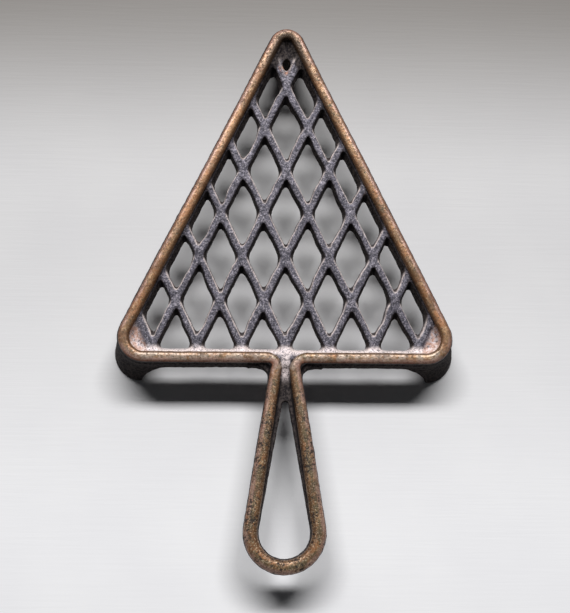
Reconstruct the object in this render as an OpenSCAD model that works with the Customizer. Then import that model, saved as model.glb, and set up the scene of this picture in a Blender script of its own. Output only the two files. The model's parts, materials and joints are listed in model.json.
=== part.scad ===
// Stand (trivet) for a sad iron: one iron casting on three splayed feet, with a
// diamond lattice inside a beaded triangular rim and a teardrop loop handle.
// +Z is up, +Y points to the nose and the handle points to -Y. The origin is the
// centre of the footprint, on the plane that the feet stand on. Millimetres.

/* [Triangle] */
// Length from the tip of the nose to the outside of the back rail
triangle_len = 145.6; // [140:0.1:155]
// Plan radius of the nose
nose_r = 7.5; // [7:0.1:9]
// Plan radius of the two back corners
corner_r = 11; // [9:0.1:13]

/* [Rim] */
// Width of the rounded bead that runs along the top of the rim
bead_w = 4.5; // [3.5:0.1:5]
// How far the bead sits inside the outer face of the rim
bead_inset = 0.35; // [0.2:0.05:0.6]
// Width of the whole rim, from its outer face to the edge of the openings
rim_w = 6.5; // [5.8:0.1:6.8]
// Thickness of the skirt that hangs under the rim
skirt_t = 4.2; // [3.5:0.1:5]
// Height of the skirt's lower edge above the table
skirt_z = 12.6; // [11.6:0.1:13.4]

/* [Lattice] */
// Height of the top of the bars above the table
lattice_z = 18.3; // [18:0.1:20]
// Distance between neighbouring crossings in a row
cross_pitch = 18; // [17.6:0.05:18.2]
// Distance between one row of crossings and the next
row_pitch = 18.75; // [18.4:0.05:18.9]
// Number of rows of crossings, one crossing more in each
rows = 7; // [6:1:7]
// Distance from the outside of the back rail to the last row of crossings
last_row_y = 7.5; // [7:0.1:8.5]
// Width of a bar at its top
bar_top_w = 2.6; // [2:0.1:3.4]
// Width of a bar at its underside
bar_bottom_w = 4.4; // [3.6:0.1:5]
// Depth of a bar
bar_t = 4.5; // [3.5:0.1:4.6]

/* [Webs] */
// How far the webs in the nose, the corners and the neck lie under the bars' tops
web_drop = 0.9; // [0.5:0.1:1.5]
// Width of the hanging hole in the nose web
hang_w = 3.6; // [3:0.1:4]
// Length of the hanging hole in the nose web
hang_len = 5.8; // [5:0.1:6.5]
// Distance from the foremost crossing to the middle of the hanging hole
hang_dist = 10; // [9.5:0.1:10.5]

/* [Handle] */
// Length of the handle behind the back rail
handle_len = 83; // [70:1:100]
// Radius of the outside of the loop at the end of the handle
loop_r = 16.5; // [15:0.5:19]
// Radius of the opening inside the loop
loop_hole_r = 10.2; // [8.5:0.1:10.5]
// Half width of the handle at its neck
neck_r = 6.7; // [6.3:0.1:7.5]
// Radius of the bend where the bead turns from the back rail into the handle
turn_r = 5; // [4:0.5:6]
// Distance from the back rail to the crotch of the handle's opening
crotch_y = 14.8; // [12:0.1:20]
// Width of the bead where it runs round the loop
loop_bead_w = 5.4; // [4.5:0.1:5.6]
// Height of the handle's underside above the table
handle_z = 14; // [13.9:0.1:15.5]

/* [Feet] */
// How far a foot leans out from the skirt down to its toe
toe_splay = 4.6; // [2:0.1:6]
// How far a foot runs past the round of its corner; less than 0 stops it short
foot_reach = -2.2; // [-3:0.1:2.5]
// Radius of the hollow curve between a foot and the skirt
foot_curve_r = 10.5; // [6:0.5:11]

/* [Hidden] */
$fn = 96;
overlap = 1;
// Flat facets in each bend of a bead, and across its round top.
bend_steps = 10;
crown_steps = 12;
crotch_r = 1.3;
bead_rise = 0.15;
// Points nearer to the middle than this lie on the line of symmetry.
on_axis = 0.001;
// Fraction of its radius at which the curve beside a foot stops, a little short of
// the skirt, so that it doesn't end in a knife edge.
curve_stop = 0.9;

worn_bronze = [0.52, 0.37, 0.24];
dark_iron = [0.20, 0.19, 0.20];
bare_iron = [0.36, 0.35, 0.38];

// The rim's sides run parallel to the lattice bars, at this angle to the Y axis.
side_angle = atan(cross_pitch / 2 / row_pitch);
first_row_y = last_row_y + (rows - 1) * row_pitch;
lattice_bottom_z = lattice_z - bar_t;
web_z = lattice_z - web_drop;
bar_half = bar_bottom_w / 2 / cos(side_angle);

// Centres of the rounded corners of the triangle.
nose_centre = [0, triangle_len - nose_r];
corner_x = (nose_centre.y * sin(side_angle) + nose_r - corner_r
    - corner_r * sin(side_angle)) / cos(side_angle);
corner_centre = [corner_x, corner_r];

// The bead is a half round standing on the rim's top.
bead_r = bead_w / 2;
bead_axis_inset = bead_inset + bead_r;
bead_axis_z = lattice_z + bead_rise;

// In plan the handle is a capsule that widens from the neck to the loop.
neck_y = -4;
loop_y = loop_r - handle_len;
loop_bead_r = loop_bead_w / 2;
loop_axis_r = loop_r - bead_inset - loop_bead_r;
strand_angle = asin((loop_r - neck_r) / (neck_y - loop_y));

// Centre of the bend that carries the bead from the back rail into the handle.
turn_y = bead_axis_inset - turn_r;
turn_x = (neck_y * sin(strand_angle) + neck_r - bead_axis_inset + turn_r
    - turn_y * sin(strand_angle)) / cos(strand_angle);
strand_start = [turn_x, turn_y] - polar(turn_r, strand_angle);
strand_end = [0, loop_y] + polar(loop_axis_r, strand_angle);
neck_half_gap = strand_start.x - bead_r;

// The direction in which the right foot leans, and how far the two sides that
// meet at each corner turn away from it.
right_out = (side_angle - 90) / 2;
corner_spread = (side_angle + 90) / 2;
nose_spread = 90 - side_angle;
lean = atan(toe_splay / skirt_z);

// Shift that centres the footprint on the origin.
toe_y = triangle_len + toe_splay;
centre_y = (handle_len - toe_y) / 2;

function polar(r, a) = [r * cos(a), r * sin(a)];

// ---- Outlines, in plan ----

// Strip down the middle of the neck, between the two strands of the bead.
module neck_strip_outline() {
    bottom_y = -crotch_y - crotch_r;
    bottom_half = neck_half_gap + (strand_start.y - bottom_y) * tan(strand_angle);
    polygon([
        [-neck_half_gap, rim_w], [neck_half_gap, rim_w], [neck_half_gap, strand_start.y],
        [bottom_half, bottom_y], [-bottom_half, bottom_y], [-neck_half_gap, strand_start.y]
    ]);
}

// The part of the plan where the back rail curves into the handle.
module neck_outline() {
    difference() {
        polygon([
            [-turn_x, overlap], [turn_x, overlap], [turn_x, turn_y],
            strand_start, [-strand_start.x, strand_start.y], [-turn_x, turn_y]
        ]);
        for (side = [-1, 1])
            translate([side * turn_x, turn_y]) circle(turn_r - bead_axis_inset);
    }
}

// The V between the two bars that run forwards from the foremost crossing.
module nose_web_outline() {
    tip_y = first_row_y + bar_half / tan(side_angle);
    reach = triangle_len - tip_y;
    polygon([
        [0, tip_y], [reach * tan(side_angle), triangle_len],
        [-reach * tan(side_angle), triangle_len]
    ]);
}

// The corner outside the last crossing on the right, behind the bar through it.
module corner_web_outline() {
    x = (rows - 1) * cross_pitch / 2 + bar_half;
    reach = 2 * corner_r;
    polygon([
        [x, 0], [x, last_row_y], [x + reach * tan(side_angle), last_row_y + reach],
        [x + 2 * reach, last_row_y + reach], [x + 2 * reach, 0]
    ]);
}

// Pointed oval, the overlap of two circles.
module hang_hole_outline() {
    r = (hang_len * hang_len + hang_w * hang_w) / (4 * hang_w);
    intersection_for (side = [-1, 1])
        translate([side * (r - hang_w / 2), 0]) circle(r);
}

// ---- Blocks between two heights ----

module slab(z1, z2) {
    translate([0, 0, z1]) linear_extrude(z2 - z1) children();
}

// Triangle with rounded corners, moved inwards from the rim's outline by inset.
module triangle_slab(inset, z1, z2) {
    right = [
        nose_centre + polar(nose_r - inset, side_angle),
        corner_centre + polar(corner_r - inset, side_angle),
        corner_centre + polar(corner_r - inset, -90)
    ];
    left = [for (i = [2:-1:0]) [-right[i].x, right[i].y]];
    slab(z1, z2) polygon(concat(right, left));
    slab(z1, z2) translate(nose_centre) circle(nose_r - inset);
    for (side = [-1, 1])
        slab(z1, z2) translate([side * corner_x, corner_r]) circle(corner_r - inset);
}

// Capsule along Y between two circles of different radii.
module taper_slab(y1, r1, y2, r2, z1, z2) {
    a = asin((r2 - r1) / (y1 - y2));
    right = [[0, y1] + polar(r1, a), [0, y2] + polar(r2, a)];
    left = [for (i = [1:-1:0]) [-right[i].x, right[i].y]];
    slab(z1, z2) polygon(concat(right, left));
    slab(z1, z2) translate([0, y1]) circle(r1);
    slab(z1, z2) translate([0, y2]) circle(r2);
}

// ---- Beads ----

function arc(centre, r, from, to) =
    [for (i = [0:bend_steps]) centre + polar(r, from + (to - from) * i / bend_steps)];

// A path's right half, followed by its mirror image in reverse.
function both_halves(right) = concat(
    right,
    [for (i = [len(right) - 1:-1:0]) if (right[i].x > on_axis) [-right[i].x, right[i].y]]
);

function unit(v) = v / norm(v);

// Direction across the path to its right at point i.
function across(path, i) =
    let (
        last = len(path) - 1,
        before = i > 0 ? unit(path[i] - path[i - 1]) : [0, 0],
        after = i < last ? unit(path[i + 1] - path[i]) : [0, 0],
        along = unit(before + after)
    )
    [along.y, -along.x];

// Section of the bead at point i of its path, with radius r: an arc of a circle
// that ends on both sides at the level the bead stands on.
function crown(path, i, r) =
    let (low = asin((lattice_z - bead_axis_z) / r))
    [for (j = [0:crown_steps])
        let (
            a = low + (180 - 2 * low) * j / crown_steps,
            p = path[i] + across(path, i) * r * cos(a)
        )
        [p.x, p.y, bead_axis_z + r * sin(a)]];

// Half-round bead along a path. radii holds its radius at each point.
module bead(path, radii) {
    row = crown_steps + 1;
    last = len(path) - 1;
    points = [for (i = [0:last]) each crown(path, i, radii[i])];
    skin = [for (i = [0:last - 1], j = [0:row - 1])
        let (k = (j + 1) % row)
        each [
            [i * row + j, i * row + k, (i + 1) * row + k],
            [i * row + j, (i + 1) * row + k, (i + 1) * row + j]
        ]];
    start_cap = [for (j = [row - 1:-1:0]) j];
    end_cap = [for (j = [0:row - 1]) last * row + j];
    polyhedron(points, concat(skin, [start_cap, end_cap]));
}

// ---- Solids ----

// The teardrop opening in the handle.
module handle_opening() {
    taper_slab(-crotch_y - crotch_r, crotch_r, loop_y, loop_hole_r,
        handle_z - overlap, lattice_z + overlap);
}

module rim() {
    color(dark_iron) {
        difference() {
            union() {
                triangle_slab(0, skirt_z, lattice_z);
                slab(lattice_bottom_z, lattice_z) neck_outline();
            }
            triangle_slab(skirt_t, skirt_z - overlap, lattice_bottom_z);
            triangle_slab(rim_w, skirt_z - overlap, lattice_z + overlap);
            slab(skirt_z, lattice_z + overlap) neck_strip_outline();
        }
        slab(skirt_z, lattice_bottom_z) translate([-neck_r, 0]) square([2 * neck_r, skirt_t]);
    }
}

module rim_bead() {
    path = both_halves(concat(
        arc([turn_x, turn_y], turn_r, 180 + strand_angle, 90),
        arc(corner_centre, corner_r - bead_axis_inset, -90, side_angle),
        arc(nose_centre, nose_r - bead_axis_inset, side_angle, 90)
    ));
    color(worn_bronze) bead(path, [for (p = path) bead_r]);
}

// One lattice bar, wider underneath, running along Y through the origin.
module bar(len) {
    rotate([90, 0, 0]) linear_extrude(len, center = true) polygon([
        [-bar_top_w / 2, lattice_z], [bar_top_w / 2, lattice_z],
        [bar_bottom_w / 2, lattice_bottom_z], [-bar_bottom_w / 2, lattice_bottom_z]
    ]);
}

// Each bar of a family passes the outermost crossing of one row.
module lattice() {
    color(bare_iron) difference() {
        intersection() {
            for (side = [0, 1], row = [0:rows - 1])
                mirror([side, 0, 0])
                    translate([row * cross_pitch / 2, first_row_y - row * row_pitch, 0])
                        rotate([0, 0, -side_angle]) bar(3 * triangle_len);
            triangle_slab(rim_w, lattice_bottom_z - overlap, lattice_z + overlap);
        }
        slab(lattice_bottom_z - 2 * overlap, lattice_z + 2 * overlap) {
            nose_web_outline();
            corner_web_outline();
            mirror([1, 0]) corner_web_outline();
        }
    }
}

// Web filling the part of the triangle's opening that its children outline.
module web() {
    color(bare_iron) intersection() {
        triangle_slab(rim_w, lattice_bottom_z - overlap, web_z + overlap);
        slab(lattice_bottom_z, web_z) children();
    }
}

module nose_web() {
    web() difference() {
        nose_web_outline();
        translate([0, first_row_y + hang_dist]) hang_hole_outline();
    }
}

module right_corner_web() web() corner_web_outline();
module left_corner_web() mirror([1, 0, 0]) right_corner_web();

module neck_web() {
    color(bare_iron) difference() {
        slab(handle_z, web_z) neck_strip_outline();
        handle_opening();
    }
}

module handle() {
    color(dark_iron) difference() {
        taper_slab(neck_y, neck_r, loop_y, loop_r, handle_z, lattice_z);
        handle_opening();
        slab(handle_z - overlap, lattice_z + overlap) {
            neck_strip_outline();
            translate([-handle_len, strand_start.y]) square(2 * handle_len);
        }
    }
}

module handle_bead() {
    loop = arc([0, loop_y], loop_axis_r, strand_angle, -90);
    path = both_halves(concat([strand_start], loop));
    last = len(path) - 1;
    radii = [for (i = [0:last]) i == 0 || i == last ? bead_r : loop_bead_r];
    color(worn_bronze) bead(path, radii);
}

// The rim's wall, carried on down below the skirt.
module tall_wall() {
    difference() {
        triangle_slab(0, -skirt_z, 2 * skirt_z);
        triangle_slab(skirt_t, -skirt_z - overlap, 2 * skirt_z + overlap);
    }
}

// Cutter for the wall on one side of a foot, in a frame centred on the corner
// whose X points out through that wall and whose Y runs away along it.
module foot_curve() {
    size = 6 * corner_r;
    curve_z = skirt_z - foot_curve_r;
    rotate([90, 0, 90]) linear_extrude(size) {
        translate([foot_reach + foot_curve_r, curve_z]) circle(foot_curve_r);
        translate([foot_reach, curve_z - size]) square(size);
        translate([foot_reach + curve_stop * foot_curve_r, skirt_z + overlap - size])
            square(size);
    }
}

// Foot under a rounded corner of radius r: a piece of the wall that leans in the
// direction out. The sides beside the corner face spread to either side of it.
module foot(centre, r, out, spread) {
    pivot = centre + polar(r, out);
    reach = foot_reach + foot_curve_r + r + toe_splay;
    color(dark_iron) difference() {
        intersection() {
            translate([pivot.x, pivot.y, skirt_z]) rotate([0, 0, out])
                rotate([0, -lean, 0]) rotate([0, 0, -out])
                    translate([-pivot.x, -pivot.y, -skirt_z]) tall_wall();
            slab(0, skirt_z) translate(centre) circle(reach);
        }
        for (side = [-1, 1])
            translate(centre) rotate([0, 0, out + side * spread])
                mirror([0, side > 0 ? 0 : 1, 0]) foot_curve();
    }
}

module right_foot() foot(corner_centre, corner_r, right_out, corner_spread);
module left_foot() mirror([1, 0, 0]) right_foot();
module front_foot() foot(nose_centre, nose_r, 90, nose_spread);

translate([0, centre_y, 0]) {
    rim();
    rim_bead();
    lattice();
    nose_web();
    left_corner_web();
    right_corner_web();
    neck_web();
    handle();
    handle_bead();
    front_foot();
    left_foot();
    right_foot();
}
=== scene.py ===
"""Looks of the cast sad-iron stand: rough cast surfaces, patina, floor, light and camera.

The whole stand is described once, as a signed distance in millimetres. Each node of
the CAD is cut out of that one shape and meshed on its own, so that the casting's
fillets and unevenness run on from piece to piece.
"""

import json
import math

import bpy
import numpy as np
from mathutils import Euler, Matrix, Vector


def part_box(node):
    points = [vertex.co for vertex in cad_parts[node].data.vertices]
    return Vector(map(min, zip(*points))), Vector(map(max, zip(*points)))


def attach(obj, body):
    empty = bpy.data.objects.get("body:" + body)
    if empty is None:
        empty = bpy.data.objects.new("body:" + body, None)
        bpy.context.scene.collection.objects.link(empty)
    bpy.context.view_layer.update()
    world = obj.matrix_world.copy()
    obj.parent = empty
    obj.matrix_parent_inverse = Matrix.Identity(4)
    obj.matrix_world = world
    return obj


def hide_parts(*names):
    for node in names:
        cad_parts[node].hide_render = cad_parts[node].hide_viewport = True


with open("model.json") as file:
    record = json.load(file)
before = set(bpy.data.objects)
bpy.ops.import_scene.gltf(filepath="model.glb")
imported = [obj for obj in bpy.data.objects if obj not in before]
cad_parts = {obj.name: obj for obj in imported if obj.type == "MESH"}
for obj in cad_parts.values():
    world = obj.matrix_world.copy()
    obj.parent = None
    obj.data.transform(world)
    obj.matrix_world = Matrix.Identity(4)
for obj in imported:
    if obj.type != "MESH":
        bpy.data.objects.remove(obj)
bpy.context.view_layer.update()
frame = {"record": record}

MM = 0.001
# A distance in millimetres that is never the least
FAR_OFF = 1e3

# ---- Sizes, in millimetres ----
# The plan has its origin in the middle of the outer face of the back rail. +Y points
# to the nose and z is the height above the floor.


def box_mm(node):
    """Lowest and highest corner of a node of the CAD, in millimetres."""
    low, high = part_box(node)
    return np.array(low) / MM, np.array(high) / MM


# Heights of the CAD
rim_low, rim_high = box_mm("rim")
handle_low, handle_high = box_mm("handle")
SKIRT_Z = rim_low[2]
DECK_Z = rim_high[2]
HANDLE_Z = handle_low[2]
BARS_Z = box_mm("lattice")[0][2]
WEB_Z = box_mm("neck_web")[1][2]

# Rim and skirt
TRIANGLE_LEN = 145.6
NOSE_R = 7.5
CORNER_R = 11
RIM_W = 6.5
BACK_Y = rim_high[1] - TRIANGLE_LEN
PLAN_ORIGIN = np.array([0, BACK_Y, 0])
CORNER_X = rim_high[0] - CORNER_R
NOSE_Y = TRIANGLE_LEN - NOSE_R
RIM_EDGE_R = 0.6
# The rim's inner wall slopes from the foot of the bead down into the openings. With a
# gain of 1 it would end at the edge of the CAD's openings, and a larger one takes it
# farther in.
SLOPE_TOP_W = 5.3
SLOPE_GAIN = 1.4
SLOPE = (RIM_W - SLOPE_TOP_W) / (DECK_Z - BARS_Z) * SLOPE_GAIN
SLOPE_EDGE_R = 0.4
SKIRT_T = 4.2
SKIRT_FLARE = 0.5
SKIRT_FILLET = 0.8

# Lattice
CROSS_PITCH = 18
ROW_PITCH = 18.75
ROWS = 7
FIRST_ROW_Y = 120
BAR_TOP_HALF = 1.35
BAR_FOOT_HALF = 2.2
BAR_EDGE_R = 0.5
SIDE_ANGLE = math.atan(CROSS_PITCH / 2 / ROW_PITCH)
SIN_SIDE = math.sin(SIDE_ANGLE)
COS_SIDE = math.cos(SIDE_ANGLE)
BAR_PITCH = CROSS_PITCH * COS_SIDE
# The fillets of the crossings, at the bars' tops, and their growth down to the undersides
CROSSING_FILLET = 1.3
CROSSING_GROWTH = 1.5

# Webs. Each is dished, and runs on a little way under the bars and the rim.
WEB_EDGE_R = 0.4
WEB_UNDER_RIM = 1.0
NOSE_WEB_UNDER_BARS = 1.2
CORNER_WEB_UNDER_BARS = 0.6
WEB_DISH = 0.5
WEB_DISH_W = 3
NOSE_DISH_START = 0.5
NOSE_WEB_LIFT = 0.2
NOSE_WEB_FALL = 0.8
NOSE_WEB_FALL_LEN = 5

# Hanging hole
HANG_W = 3.6
HANG_LEN = 5.8
HANG_Y = FIRST_ROW_Y + 10
HANG_EDGE_R = 0.5

# Bead
BEAD_INSET = 0.35
BEAD_R = 2.25
LOOP_BEAD_R = 2.7
BEAD_AXIS = BEAD_INSET + BEAD_R
BEAD_Z = DECK_Z + 0.15
BEAD_ROOT = 1.5
# 2 would make the bead round, and larger powers flatten its crest.
BEAD_POWER = 2.8
# How much wider and lower than round the bead is
BEAD_SPREAD = 0.1
BEAD_SINK = 0.05
# The bead's bend from the back rail into the handle is tighter on the left, where
# there is also a notch in its inner side.
LEFT_TURN_R = 4.0
RIGHT_TURN_R = 5.2
NOTCH = (-1.5, 0.5)
NOTCH_R = 1.1
NOTCH_EDGE_R = 0.5

# Neck and handle
NECK_Y = -4
NECK_R = 6.7
LOOP_R = handle_high[0]
LOOP_Y = handle_low[1] - BACK_Y + LOOP_R
LOOP_HOLE_R = 10.2
CROTCH_Y = -16.1
CROTCH_R = 1.3
GRIP_EDGE_R = 0.9
EYE_EDGE_R = 0.7
STRAND_ANGLE = math.asin((LOOP_R - NECK_R) / (NECK_Y - LOOP_Y))
SIN_STRAND = math.sin(STRAND_ANGLE)
COS_STRAND = math.cos(STRAND_ANGLE)
STRAND_TOP_Y = -3.2
NECK_STRIP_HALF = 1.8
# The sunken neck rises to the deck's height between these distances behind the rail.
NECK_RISE = (14, 40)
# The skirt turns into the handle's sides with this radius.
NECK_FILLET = 6.5
NECK_FILLET_ROOT = 1.0
NECK_WALL_FILLET = 1.0

# Feet. The toes lean out by these lengths along X and Y.
TOE_SPLAY = (2.4, -4.2)
NOSE_TOE_SPLAY = (0, 4.6)
# On the floor a foot ends this far along its two walls, and it widens upwards in an arc.
FOOT_REACH = -2.2
FOOT_CURVE_R = 16
FOOT_CURVE_LEN = math.sqrt(FOOT_CURVE_R**2 - (SKIRT_Z - FOOT_CURVE_R) ** 2)
FOOT_CURVE_EDGE_R = 0.8
FOOT_SPAN = 42
FOOT_PROUD = 0.5
FOOT_ROOT = 1.5
FOOT_EDGE_R = 0.5
# A foot's lean is 0 at the skirt and 1 at the floor, and goes on a little beyond both.
LEAN_RANGE = (-0.2, 1.1)

# Fillets between the parts of the casting
WEB_FILLET = 1.2
LATTICE_FILLET = 2.0
NOSE_FILLET_GROWTH = 1.5
NOSE_FILLET_START = FIRST_ROW_Y - 12
GRIP_FILLET = 3.0
BEAD_FILLET = 0.5
FOOT_FILLET = 1.0
# The bars run on this far under the rim.
BARS_UNDER_RIM = 2

# ---- Mesh fineness, in millimetres ----
STEP = 0.47
# How far a piece reaches under its neighbours' skin, and its grid beyond the node's box
OVERLAP = 1.0
MARGIN = 2.4

# ---- Noise ----


def waves(seed, count, wavelength):
    """Random plane waves that add up to a smooth noise: vectors and phases."""
    rng = np.random.default_rng(seed)
    direction = rng.normal(size=(count, 3))
    direction /= np.linalg.norm(direction, axis=1)[:, None]
    length = wavelength * rng.uniform(0.7, 1.4, size=count)
    return direction * (2 * math.pi / length)[:, None], rng.uniform(0, 2 * math.pi, size=count)


def noise(recipe, x, y, z):
    """Value of the noise at points, with a spread of about 1."""
    vectors, phases = recipe
    total = np.zeros(np.broadcast(x, y, z).shape)
    for vector, phase in zip(vectors, phases):
        total += np.sin(vector[0] * x + vector[1] * y + vector[2] * z + phase)
    return total * math.sqrt(2 / len(phases))


WANDER_X = waves(11, 6, 34)
WANDER_Y = waves(12, 6, 34)
WANDER_Z = waves(13, 6, 30)
BAR_WAVES = [waves(21, 7, 11), waves(22, 7, 11)]
TOP_WAVES = waves(23, 8, 9)
DENTS = waves(31, 10, 7)
LUMPS = waves(32, 18, 2.6)
GRIT = waves(33, 24, 1.3)

# How far each unevenness goes, in millimetres
WANDER_PLAN = 0.06
WANDER_HEIGHT = 0.1
BAR_WIDTH_WAVER = 0.1
BAR_LINE_WAVER = 0.12
BAR_TOP_WAVER = 0.08
DENT_DEPTH = 0.025
LUMP_HEIGHT = 0.035
GRIT_HEIGHT = 0.022
# Shares of the dents and of the lumps that wear has taken off the bead
BEAD_DENTS_GONE = 0.5
BEAD_LUMPS_GONE = 0.7
# The wear goes this far beyond the bead's foot, and fades over these distances.
WORN_W = 0.4
WORN_FADE = 0.8
WORN_Z = (DECK_Z - 0.2, DECK_Z + 0.6)
# The sand's unevenness grows from nothing on the floor to its full size at this height.
FLAT_TOE_Z = 1.5
# Between these heights the unevenness in height sets in, so that the feet stand level.
LEVEL_Z = (2, 10)

# ---- Joining distances ----


def join(a, b, k):
    """Union of two shapes with a fillet about k wide."""
    h = np.clip(0.5 + 0.5 * (b - a) / k, 0, 1)
    return b + (a - b) * h - k * h * (1 - h)


def rounded(a, b, r):
    """Overlap of two half spaces whose shared edge has radius r."""
    outside = np.hypot(np.maximum(a + r, 0), np.maximum(b + r, 0))
    return outside + np.minimum(np.maximum(a, b) + r, 0) - r


def between(z, low, high):
    """Distance to the layer between two heights."""
    return np.maximum(low - z, z - high)


def smooth_step(x, start, end):
    """Smooth change from 0 to 1 while x goes from start to end."""
    t = np.clip((x - start) / (end - start), 0, 1)
    return t * t * (3 - 2 * t)


# ---- The stand in plan ----


def triangle(x, y):
    """Distance to the rim's outline: three straight sides and three round corners."""
    x = np.abs(x)
    side = x * COS_SIDE + (y - NOSE_Y) * SIN_SIDE - NOSE_R
    result = np.maximum(side, -y)
    above = y - NOSE_Y
    at_nose = above * COS_SIDE > x * SIN_SIDE
    result = np.where(at_nose, np.hypot(x, above) - NOSE_R, result)
    cx = x - CORNER_X
    cy = y - CORNER_R
    at_corner = (cx > 0) & (cx * SIN_SIDE > cy * COS_SIDE)
    return np.where(at_corner, np.hypot(cx, cy) - CORNER_R, result)


def teardrop(x, y, top_y, top_r, low_y, low_r):
    """Distance to the capsule between a small and a large circle on the Y axis."""
    x = np.abs(x)
    slope = math.asin((low_r - top_r) / (top_y - low_y))
    side = x * math.cos(slope) + (y - top_y) * math.sin(slope) - top_r
    along = x * math.sin(slope) - (y - top_y) * math.cos(slope)
    length = (top_y - low_y) * math.cos(slope)
    result = np.where(along < 0, np.hypot(x, y - top_y) - top_r, side)
    return np.where(along > length, np.hypot(x, y - low_y) - low_r, result)


def turn_radius(x):
    """Radius of the bead's bend on the side of the stand that x is on."""
    return np.where(x < 0, LEFT_TURN_R, RIGHT_TURN_R)


def turn_centre(x):
    """Centre and radius of the bead's bend on the side of the stand that x is on."""
    r = turn_radius(x)
    cy = BEAD_AXIS - r
    cx = ((NECK_Y - cy) * SIN_STRAND + NECK_R - BEAD_AXIS + r) / COS_STRAND
    return cx, cy, r


def outline(x, y):
    """Distance to the outline of the rim and the handle, filleted at the neck."""
    a = triangle(x, y)
    b = teardrop(x, y, NECK_Y, NECK_R, LOOP_Y, LOOP_R)
    r = turn_radius(x) - BEAD_AXIS
    inside_fillet = np.hypot(np.maximum(r - a, 0), np.maximum(r - b, 0))
    return np.maximum(r, np.minimum(a, b)) - inside_fillet


def rail_and_bend(x, y, cx, cy, r):
    """Distance to the bead's line along the triangle and round the bend at the neck."""
    rail = np.abs(triangle(x, y) + BEAD_AXIS)
    open_rail = (x < cx) & (y < 4 * BEAD_AXIS)
    rail = np.where(open_rail, np.hypot(x - cx, y - BEAD_AXIS), rail)
    px = x - cx
    py = y - cy
    in_bend = (px < 0) & (py * COS_STRAND > px * SIN_STRAND)
    bend = np.where(in_bend, np.abs(np.hypot(px, py) - r), FAR_OFF)
    return np.minimum(rail, bend)


def strand_and_loop(x, y, cx, cy, r):
    """Distance to the bead's line along a strand of the handle and round its end."""
    start_x = cx - r * COS_STRAND
    start_y = cy - r * SIN_STRAND
    loop_axis_r = LOOP_R - BEAD_INSET - LOOP_BEAD_R
    end_x = loop_axis_r * COS_STRAND
    end_y = LOOP_Y + loop_axis_r * SIN_STRAND
    dx = end_x - start_x
    dy = end_y - start_y
    t = np.clip(((x - start_x) * dx + (y - start_y) * dy) / (dx * dx + dy * dy), 0, 1)
    strand = np.hypot(x - start_x - t * dx, y - start_y - t * dy)
    below = x * SIN_STRAND > (y - LOOP_Y) * COS_STRAND
    loop = np.where(below, np.abs(np.hypot(x, y - LOOP_Y) - loop_axis_r), FAR_OFF)
    return np.minimum(strand, loop)


def bead_line(x, y):
    """Distance to the bead's centre line, and the bead's radius there."""
    cx, cy, r = turn_centre(x)
    x = np.abs(x)
    distance = np.minimum(rail_and_bend(x, y, cx, cy, r), strand_and_loop(x, y, cx, cy, r))
    widening = np.clip((STRAND_TOP_Y - y) / (STRAND_TOP_Y - LOOP_Y), 0, 1)
    return distance, BEAD_R + (LOOP_BEAD_R - BEAD_R) * widening


def bar_line(x, y, side):
    """Distance across the nearest bar of one of the two families."""
    across = side * x * COS_SIDE - (y - FIRST_ROW_Y) * SIN_SIDE
    nearest = np.clip(np.round(across / BAR_PITCH), 0, ROWS - 1)
    return np.abs(across - nearest * BAR_PITCH)


def nose_v(x, y):
    """Distance to the V in front of the foremost crossing."""
    return np.abs(x) * COS_SIDE - (y - FIRST_ROW_Y) * SIN_SIDE + BAR_FOOT_HALF


def corner_v(x, y):
    """Distance to the two corners outside the last bars."""
    last = (ROWS - 1) * BAR_PITCH + BAR_FOOT_HALF
    return last - np.abs(x) * COS_SIDE + (y - FIRST_ROW_Y) * SIN_SIDE


def hang_hole(x, y):
    """Distance to the pointed oval in the nose web."""
    r = (HANG_LEN**2 + HANG_W**2) / (4 * HANG_W)
    return np.hypot(np.abs(x) + r - HANG_W / 2, y - HANG_Y) - r


def neck_strip(x, y):
    """Distance to the strip between the two strands of the bead, at the neck."""
    half = NECK_STRIP_HALF + np.maximum(STRAND_TOP_Y - y, 0) * math.tan(STRAND_ANGLE)
    return np.maximum(np.abs(x) - half, np.maximum(y - RIM_W, CROTCH_Y - y))


# ---- The stand in space ----


def bars(x, y, z):
    """The two families of drafted lattice bars."""
    depth = (DECK_Z - z) / (DECK_Z - BARS_Z)
    drafted_half = BAR_TOP_HALF + (BAR_FOOT_HALF - BAR_TOP_HALF) * depth
    walls = []
    for side, recipe in zip((1, -1), BAR_WAVES):
        uneven = noise(recipe, x, y, 0)
        half = drafted_half + BAR_WIDTH_WAVER * uneven
        walls.append(bar_line(x + BAR_LINE_WAVER * uneven, y, side) - half)
    result = join(*walls, CROSSING_FILLET + CROSSING_GROWTH * depth)
    top = DECK_Z + BAR_TOP_WAVER * noise(TOP_WAVES, x, y, 0)
    return rounded(rounded(result, z - top, BAR_EDGE_R), BARS_Z - z, BAR_EDGE_R)


def nose_web(x, y, z, under_rim):
    """The dished web in front of the foremost crossing, with the hanging hole."""
    plan = np.maximum(nose_v(x, y) - NOSE_WEB_UNDER_BARS, under_rim)
    dish = WEB_DISH * smooth_step(-plan, NOSE_DISH_START, WEB_DISH_W)
    dish = dish + NOSE_WEB_FALL * smooth_step(y, HANG_Y, HANG_Y + NOSE_WEB_FALL_LEN)
    web = rounded(plan, between(z, BARS_Z, WEB_Z + NOSE_WEB_LIFT - dish), WEB_EDGE_R)
    return rounded(web, -hang_hole(x, y), HANG_EDGE_R)


def corner_webs(x, y, z, under_rim):
    """The dished webs in the two back corners."""
    plan = np.maximum(corner_v(x, y) - CORNER_WEB_UNDER_BARS, under_rim)
    dish = WEB_DISH * smooth_step(-plan, 0, WEB_DISH_W)
    return rounded(plan, between(z, BARS_Z, WEB_Z - dish), WEB_EDGE_R)


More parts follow.
